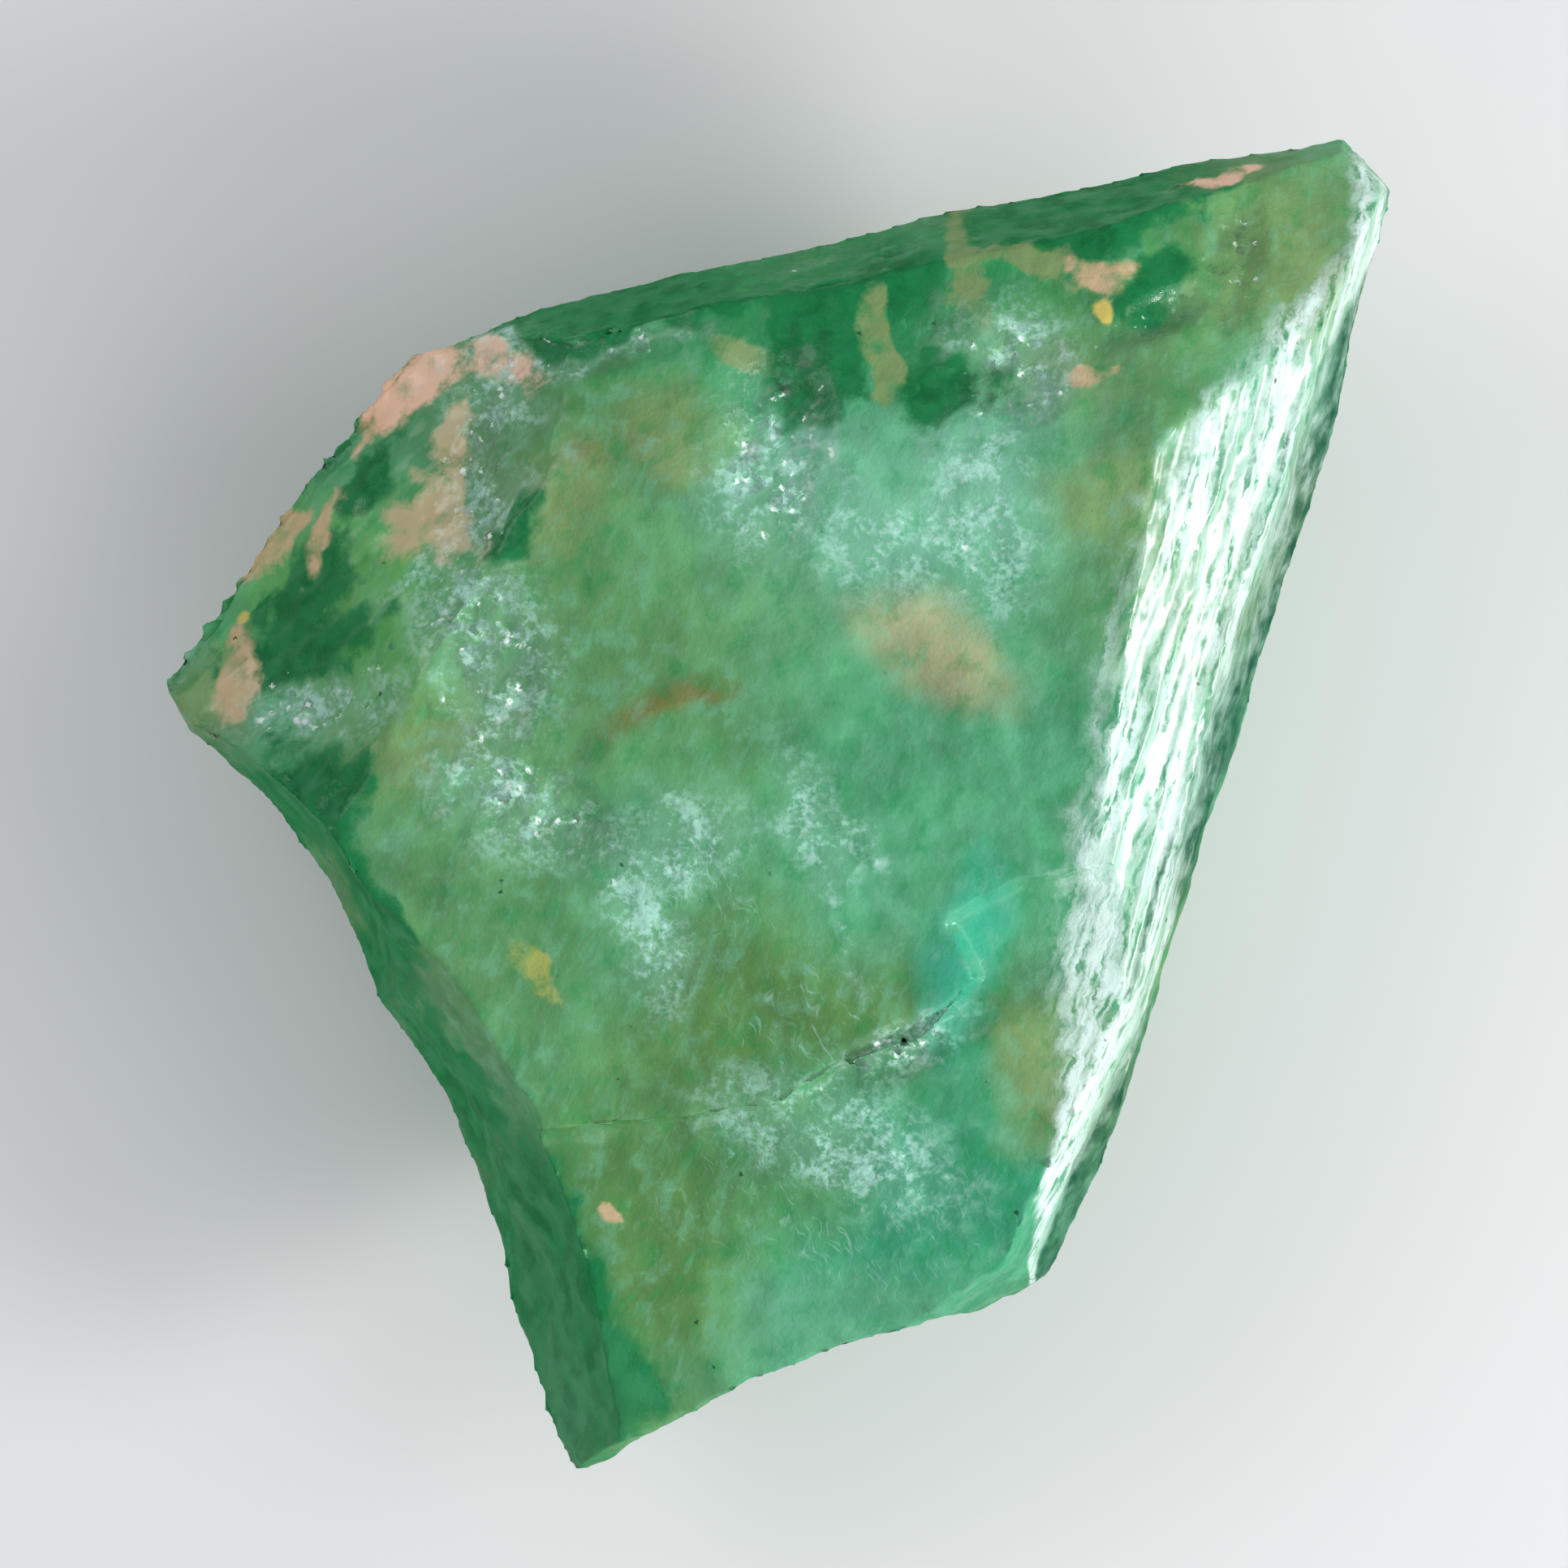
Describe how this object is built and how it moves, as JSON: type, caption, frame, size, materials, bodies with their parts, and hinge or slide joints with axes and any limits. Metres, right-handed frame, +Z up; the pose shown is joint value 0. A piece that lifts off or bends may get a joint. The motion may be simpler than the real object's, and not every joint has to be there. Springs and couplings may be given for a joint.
{
  "type": "rough emerald",
  "caption": "Rough emerald: a broken, kite-shaped piece of green beryl crystal with a striated side, lying on a small flat break.",
  "frame": {"origin": "under the middle of the stone, on the surface that it rests on", "axes": "+Z up out of the broad face, +Y along the stone from its foot to its top corner, +X to the striated prism side"},
  "size_m": [0.0112, 0.012, 0.0049],
  "materials": {
    "emerald": "translucent milky green crystal with glassy broken faces, darker clear green at the edges and pale veils and stains inside"
  },
  "bodies": {
    "root": {"emerald": "emerald"}
  },
  "joints": []
}
